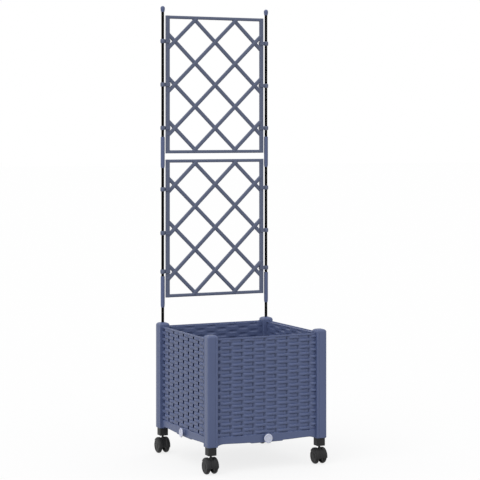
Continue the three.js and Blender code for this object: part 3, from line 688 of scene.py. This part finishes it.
def stem_parts(bottom, top):
    """The stem on its cone, about the swivel axis."""
    cone_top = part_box("castor_socket_front_left")[0].z - 5.5 * MM
    profile = rounded([
        (5.9 * MM, bottom), (5.9 * MM, cone_top - 2.6 * MM, 2 * MM), (3.8 * MM, cone_top, 1 * MM),
        (3.3 * MM, cone_top + 1.2 * MM, 1 * MM), (3.3 * MM, top), (0, top)], 1 * MM)
    return lathe(profile, 40)


def make_castor(corner, place):
    """A twin-wheel castor in its socket."""
    make_socket(corner, place)
    axle = place + Vector((0, TRAIL, AXLE_HEIGHT))
    hood_shape = moved(merged([hood_parts(), web_parts()]), Matrix.Translation(axle))
    hood = piece(f"hood_{corner}", *hood_shape, BLACK, sharp=40)
    stem_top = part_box(f"castor_hood_{corner}")[1].z
    stem_shape = moved(stem_parts(AXLE_HEIGHT + STEM_FOOT, stem_top), Matrix.Translation(place))
    stem = piece(f"stem_{corner}", *stem_shape, BLACK)
    settle(hood, f"castor_{corner}", f"castor_hood_{corner}")
    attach(stem, f"castor_{corner}")
    for side, sign in (("left", -1), ("right", 1)):
        turn = Matrix.Rotation(math.pi if sign < 0 else 0, 4, "Z")
        matrix = Matrix.Translation(axle + Vector((sign * WHEEL_REACH, 0, 0))) @ turn
        wheel = piece(f"castor_wheel_{corner}_{side}", *moved(wheel_parts(), matrix), WHEEL_BLACK, sharp=40)
        settle(wheel, f"wheel_{corner}_{side}", f"wheel_{corner}_{side}")


# ------------------------------------------------------------------ poles
TUBE_RADIUS = 4.5 * MM
TUBE_WALL = 0.8 * MM
SLEEVE_RADIUS = 6.6 * MM
SLEEVE_PLAY = 0.2 * MM
FINIAL_RADIUS = 7.15 * MM


def make_tube(level, side, place):
    """One coated tube of a pole."""
    low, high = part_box(f"pole_{level}_{side}")
    r, bore = TUBE_RADIUS, TUBE_RADIUS - TUBE_WALL
    profile = rounded([(bore, low.z), (r, low.z), (r, high.z), (bore, high.z)], 0.3 * MM, 2)
    tube = piece(f"tube_{level}_{side}", *moved(lathe(profile + [profile[0]]), place), TUBE_BLACK)
    settle(tube, "planter", f"pole_{level}_{side}")


def make_sleeve(level, side, place):
    """The sleeve over a joint of the pole: tapered at its lower end."""
    low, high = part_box(f"sleeve_{level}_{side}")
    r, bore = SLEEVE_RADIUS, TUBE_RADIUS + SLEEVE_PLAY
    profile = rounded([
        (bore, low.z), (r - 1.2 * MM, low.z), (r, low.z + 7 * MM, 4 * MM), (r, high.z - 1 * MM),
        (r - 0.5 * MM, high.z), (bore, high.z)], 0.4 * MM, 3)
    sleeve = piece(f"joint_sleeve_{level}_{side}", *moved(lathe(profile + [profile[0]]), place), BLUE)
    settle(sleeve, "planter", f"sleeve_{level}_{side}")


def make_finial(side, place):
    """The acorn on the pole's tip: a ball on a flared neck."""
    low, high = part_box(f"finial_{side}")
    centre_z = high.z - FINIAL_RADIUS
    ball = [(x, centre_z + z) for x, z in arc(FINIAL_RADIUS, 0, math.radians(81), 9)]
    neck = rounded([
        (TUBE_RADIUS + 0.1 * MM, low.z), (5.5 * MM, low.z), (6.1 * MM, low.z + 3.4 * MM, 2 * MM),
        (7 * MM, low.z + 8 * MM, 3 * MM), ball[0]], 0.5 * MM)
    acorn = piece(f"acorn_{side}", *moved(lathe(neck + ball[1:] + [(0, high.z)], 40), place), BLUE)
    settle(acorn, "planter", f"finial_{side}")


def make_poles():
    """The two poles at the back, each of three tubes, two sleeves and a finial."""
    for side, sx in (("left", -1), ("right", 1)):
        place = Matrix.Translation(CENTRE + Vector((sx * POST_REACH, POST_REACH, 0)))
        for level in ("lower", "middle", "upper"):
            make_tube(level, side, place)
        for level in ("lower", "upper"):
            make_sleeve(level, side, place)
        make_finial(side, place)


# ------------------------------------------------------------------ trellis
SIDE_BAR = 13 * MM
END_BAR = 10 * MM
FRAME_DEPTH = 9 * MM
SLAT_WIDTH = 11.5 * MM
SLAT_DEPTH = 9 * MM
SLAT_LAP = 0.75 * MM  # rising slats lie in front
SLATS_BESIDE = 2  # on each side of the middle slat, in each direction
PITCHES_ACROSS = 4
PITCHES_UP = 6
NODE_SIDE_MARGIN = 31.4 * MM  # from the outermost crossings to the trellis's sides
NODE_END_MARGIN = 11.675 * MM
BAR_EDGE = 1.1 * MM
CLIP_BORE = 4.8 * MM
CLIP_RADIUS = 7.8 * MM
JAW_START = 10.3 * MM  # from the pole's axis
JAW_WALL = 2 * MM
JAW_HALF = 4.8 * MM
NECK_START = 6.2 * MM
NECK_HALF = 3.5 * MM


def bar(start, end, width, depth, crown):
    """A straight moulded bar in the XZ plane, with crowned faces and rounded edges."""
    start, end = Vector(start), Vector(end)
    along = (end - start).normalized()
    side = Vector((-along.z, 0, along.x))
    w, low = width / 2, crown - depth / 2
    section = [
        (-w, low + BAR_EDGE), (-w + BAR_EDGE, low), (0, low - crown),
        (w - BAR_EDGE, low), (w, low + BAR_EDGE)]
    section += [(x, -y) for x, y in reversed(section)]
    profile = rounded([section[-1]] + section + [section[0]], BAR_EDGE * 0.6, 2)[1:-1]
    return loft([[tuple(tip + side * x + Vector((0, y, 0))) for x, y in profile] for tip in (start, end)])


def lattice(width, height):
    """A trellis panel about its middle: slats that cross, in a frame of four bars."""
    pitch_x = (width - 2 * NODE_SIDE_MARGIN) / PITCHES_ACROSS
    pitch_z = (height - 2 * NODE_END_MARGIN) / PITCHES_UP
    slope = pitch_z / pitch_x
    half_x, half_z = width / 2 - SIDE_BAR / 2, height / 2 - END_BAR / 2
    parts = []
    for direction in (1, -1):
        for k in range(-SLATS_BESIDE, SLATS_BESIDE + 1):
            middle = 2 * k * pitch_z
            low = max(-half_x, (-half_z - middle) / slope)
            high = min(half_x, (half_z - middle) / slope)
            ends = [(direction * x, -direction * SLAT_LAP, middle + slope * x) for x in (low, high)]
            parts.append(bar(*ends, SLAT_WIDTH, SLAT_DEPTH, 0.5 * MM))
    tip = width / 2 - 1 * MM
    for sign in (-1, 1):
        x, z = sign * half_x, sign * half_z
        parts.append(bar((x, 0, -height / 2), (x, 0, height / 2), SIDE_BAR, FRAME_DEPTH, 0.35 * MM))
        parts.append(bar((-tip, 0, z), (tip, 0, z), END_BAR, FRAME_DEPTH - 0.1 * MM, 0.4 * MM))
    return merged(parts)


def clip_parts():
    """A ring round the left pole with a jaw round the trellis's side bar, about the pole's axis."""
    low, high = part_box("clip_lower_left_1")
    half, shoulder = (high.z - low.z) / 2, CLIP_RADIUS - 0.8 * MM
    ring = rounded([
        (CLIP_BORE, -half), (shoulder, -half, 1 * MM), (CLIP_RADIUS, 0, 6 * MM), (shoulder, half, 1 * MM),
        (CLIP_BORE, half), (CLIP_BORE, -half)], 0.6 * MM, 5)
    root, jaw_end, side = JAW_START - JAW_WALL, high.x + POST_REACH, JAW_HALF + JAW_WALL
    jaw = [
        (root, -side), (jaw_end, -side), (jaw_end, -JAW_HALF), (JAW_START, -JAW_HALF),
        (JAW_START, JAW_HALF), (jaw_end, JAW_HALF), (jaw_end, side), (root, side)]
    neck_end = JAW_START - 0.2 * MM  # inside the jaw's wall
    neck = [(NECK_START, -NECK_HALF), (neck_end, -NECK_HALF), (neck_end, NECK_HALF), (NECK_START, NECK_HALF)]
    plates = [loft([[(x, y, z) for x, y in outline] for z in (1 * MM - half, half - 1 * MM)])
              for outline in (jaw, neck)]
    return merged([lathe(ring, 40)] + plates)


def soften(made, width, least_turn):
    """Rounds the edges that turn more than least_turn degrees."""
    edges = made.modifiers.new("soft_edges", "BEVEL")
    edges.width, edges.segments, edges.limit_method = width, 2, "ANGLE"
    edges.angle_limit = math.radians(least_turn)


def make_trellis():
    """The two trellis panels and the clips that tie them to the poles."""
    clip = clip_parts()
    for level in ("lower", "upper"):
        low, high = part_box(f"trellis_{level}")
        place = Matrix.Translation((low + high) / 2)
        parts = lattice(high.x - low.x, high.z - low.z)
        made = piece(f"lattice_{level}", *moved(parts, place), TRELLIS_BLUE, sharp=30)
        settle(made, "planter", f"trellis_{level}")
        for side, sx in (("left", -1), ("right", 1)):
            for number in (1, 2, 3):
                node = f"clip_{level}_{side}_{number}"
                low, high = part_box(node)
                middle = CENTRE + Vector((sx * POST_REACH, POST_REACH, (low.z + high.z) / 2))
                turn = Matrix.Rotation(math.pi if sx > 0 else 0, 4, "Z")
                matrix = Matrix.Translation(middle) @ turn
                made = piece(f"tie_{node}", *moved(clip, matrix), TRELLIS_BLUE, sharp=30)
                soften(made, width=0.4 * MM, least_turn=50)
                settle(made, "planter", node)


# ------------------------------------------------------------------ pieces kept from the frame
def dress(node, look):
    """Gives a CAD node its material."""
    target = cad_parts[node]
    target.data.materials.clear()
    target.data.materials.append(look)
    return target


make_panels()
make_posts()
make_plugs()
make_poles()
make_trellis()
for corner, (sx, sy) in CORNERS.items():
    make_castor(corner, CENTRE + Vector((sx * POST_REACH, sy * POST_REACH, 0)))
    dress(f"castor_axle_{corner}", STEEL)
soften(dress("water_tray", TRAY_BLUE), width=0.5 * MM, least_turn=40)


# ------------------------------------------------------------------ stage and light
FLOOR_REACH = 40  # metres
FLOOR_GLOW = 0.8  # share of the floor's white that its shadow leaves alone
FLOOR_SEEN = 0.9  # the floor's grey for the camera
FLOOR_LIT = 0.3  # and for the light that it throws on the object
WORLD_LIGHT = 0.84
WORLD_BACKDROP = 1.0
KEY_STRENGTH = 1.1
KEY_SPREAD = 60  # degrees
KEY_TOWARDS = (0.6, 0.44, -0.68)


def seen_rays(tree, path):
    """1 for rays that come from the camera, a mirror or a clear piece."""
    total = path.outputs["Is Camera Ray"]
    for kind in ("Is Glossy Ray", "Is Transmission Ray"):
        node = tree.nodes.new("ShaderNodeMath")
        node.operation = "MAXIMUM"
        tree.links.new(total, node.inputs[0])
        tree.links.new(path.outputs[kind], node.inputs[1])
        total = node.outputs[0]
    return total


def make_floor():
    """A plain pale floor. The camera sees it whiter than it lights the object, with a soft shadow."""
    mesh = bpy.data.meshes.new("floor")
    corners = [(sx * FLOOR_REACH, sy * FLOOR_REACH, 0) for sx, sy in CORNERS.values()]
    mesh.from_pydata(corners, [], [(0, 1, 2, 3)])
    made, tree, shader = material("floor")
    shader.inputs["Roughness"].default_value = 0.9
    shader.inputs["Specular IOR Level"].default_value = 0
    glow = tree.nodes.new("ShaderNodeEmission")
    glow.inputs["Color"].default_value = (1, 1, 1, 1)
    mix = tree.nodes.new("ShaderNodeMixShader")
    path = tree.nodes.new("ShaderNodeLightPath")
    seen = seen_rays(tree, path)
    greys = [(grey, grey, grey, 1) for grey in (FLOOR_LIT, FLOOR_SEEN)]
    tree.links.new(ramp(tree, seen, *greys), shader.inputs["Base Color"])
    share = tree.nodes.new("ShaderNodeMath")
    share.operation = "MULTIPLY"
    share.inputs[1].default_value = FLOOR_GLOW
    tree.links.new(seen, share.inputs[0])
    tree.links.new(share.outputs[0], mix.inputs["Fac"])
    tree.links.new(shader.outputs[0], mix.inputs[1])
    tree.links.new(glow.outputs[0], mix.inputs[2])
    tree.links.new(mix.outputs[0], tree.nodes["Material Output"].inputs["Surface"])
    mesh.materials.append(made)
    floor = bpy.data.objects.new("floor", mesh)
    scene.collection.objects.link(floor)


def make_world(light, backdrop):
    """Even light all round. The camera sees the backdrop's white."""
    world = bpy.data.worlds.new("world")
    scene.world = world
    world.use_nodes = True
    tree = world.node_tree
    tree.nodes.clear()
    output = tree.nodes.new("ShaderNodeOutputWorld")
    path = tree.nodes.new("ShaderNodeLightPath")
    mix = tree.nodes.new("ShaderNodeMixShader")
    shades = []
    for strength in (light, backdrop):
        shade = tree.nodes.new("ShaderNodeBackground")
        shade.inputs["Color"].default_value = (1, 1, 1, 1)
        shade.inputs["Strength"].default_value = strength
        shades.append(shade)
    tree.links.new(seen_rays(tree, path), mix.inputs["Fac"])
    tree.links.new(shades[0].outputs[0], mix.inputs[1])
    tree.links.new(shades[1].outputs[0], mix.inputs[2])
    tree.links.new(mix.outputs[0], output.inputs["Surface"])


def make_sun(name, towards, strength, spread):
    """A soft light from far away. spread is in degrees."""
    data = bpy.data.lights.new(name, "SUN")
    data.energy = strength
    data.angle = math.radians(spread)
    sun = bpy.data.objects.new(name, data)
    sun.rotation_mode = "QUATERNION"
    sun.rotation_quaternion = Vector(towards).to_track_quat("-Z", "Y")
    scene.collection.objects.link(sun)


make_floor()
make_world(light=WORLD_LIGHT, backdrop=WORLD_BACKDROP)
make_sun("key", KEY_TOWARDS, KEY_STRENGTH, KEY_SPREAD)
scene.view_settings.view_transform = "Standard"
